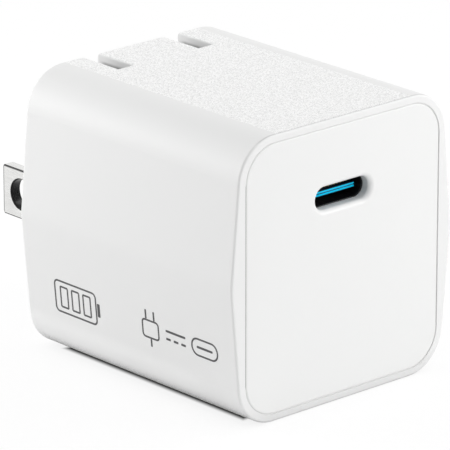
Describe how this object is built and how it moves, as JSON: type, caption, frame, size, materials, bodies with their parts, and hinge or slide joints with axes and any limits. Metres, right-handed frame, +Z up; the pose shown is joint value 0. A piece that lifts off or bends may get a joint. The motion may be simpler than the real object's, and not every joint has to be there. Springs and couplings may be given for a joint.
{
  "type": "wall charger",
  "caption": "Compact white plug-in power adapter with one oval low-voltage port in its front panel and two flat mains blades that fold up into slots in its rear face.",
  "frame": {"origin": "on the rear (plug) face, midway between the two blades and on their centre line", "axes": "+Y out of the rear face, along the deployed blades; +Z up, towards the side the blades fold to; +X to the right when looking along +Y at the front panel"},
  "size_m": [0.035, 0.0534, 0.0348],
  "materials": {
    "housing": "matte",
    "front_panel": "satin",
    "port_steel": "satin",
    "port_insulator": "satin",
    "gold_contacts": "gloss",
    "blade_nickel": "polished",
    "white_moulding": "satin",
    "spring_bronze": "satin",
    "screw_steel": "satin",
    "board": "satin",
    "tinned_pins": "satin",
    "can": "gloss",
    "bare_can": "satin",
    "ferrite": "matte",
    "spool": "satin",
    "winding": "gloss",
    "copper_wire": "gloss",
    "tape": "gloss",
    "blue_disc": "satin",
    "yellow_box": "satin",
    "fuse_body": "satin",
    "chip": "matte",
    "pad": "matte",
    "spreader": "satin",
    "sheet": "satin"
  },
  "bodies": {
    "charger": {"housing": "housing", "front_panel": "front_panel", "usb_shell": "port_steel", "usb_tongue": "port_insulator", "usb_contacts": "gold_contacts", "detent_spring": "spring_bronze", "left_contact_spring": "spring_bronze", "right_contact_spring": "spring_bronze", "pivot_retainer": "white_moulding", "retainer_screws": "screw_steel", "main_board": "board", "port_board": "board", "board_pins": "tinned_pins", "bulk_capacitor_rear": "can", "bulk_capacitor_front": "can", "bulk_capacitor_upright": "can", "y_capacitor": "blue_disc", "x_capacitor": "yellow_box", "fuse": "fuse_body", "transformer_core_lower": "ferrite", "transformer_core_upper": "ferrite", "transformer_spool": "spool", "transformer_winding": "winding", "transformer_tape": "tape", "choke_base": "spool", "choke_core": "ferrite", "choke_winding": "copper_wire", "power_switch": "chip", "thermal_pad": "pad", "primary_controller": "chip", "bridge_rectifier": "chip", "optocoupler": "chip", "small_parts": "chip", "output_capacitor_left": "bare_can", "output_capacitor_right": "bare_can", "sync_rectifier": "chip", "pd_controller": "chip", "heat_spreader": "spreader", "insulating_sheet": "sheet"},
    "prongs": {"left_blade": "blade_nickel", "right_blade": "blade_nickel", "prong_carrier": "white_moulding"}
  },
  "joints": [
    {"name": "prong_fold", "type": "hinge", "parent": "charger", "child": "prongs", "pos_m": [0, -0.0034, 0], "axis": [1, 0, 0], "range_deg": [0, 90]}
  ]
}
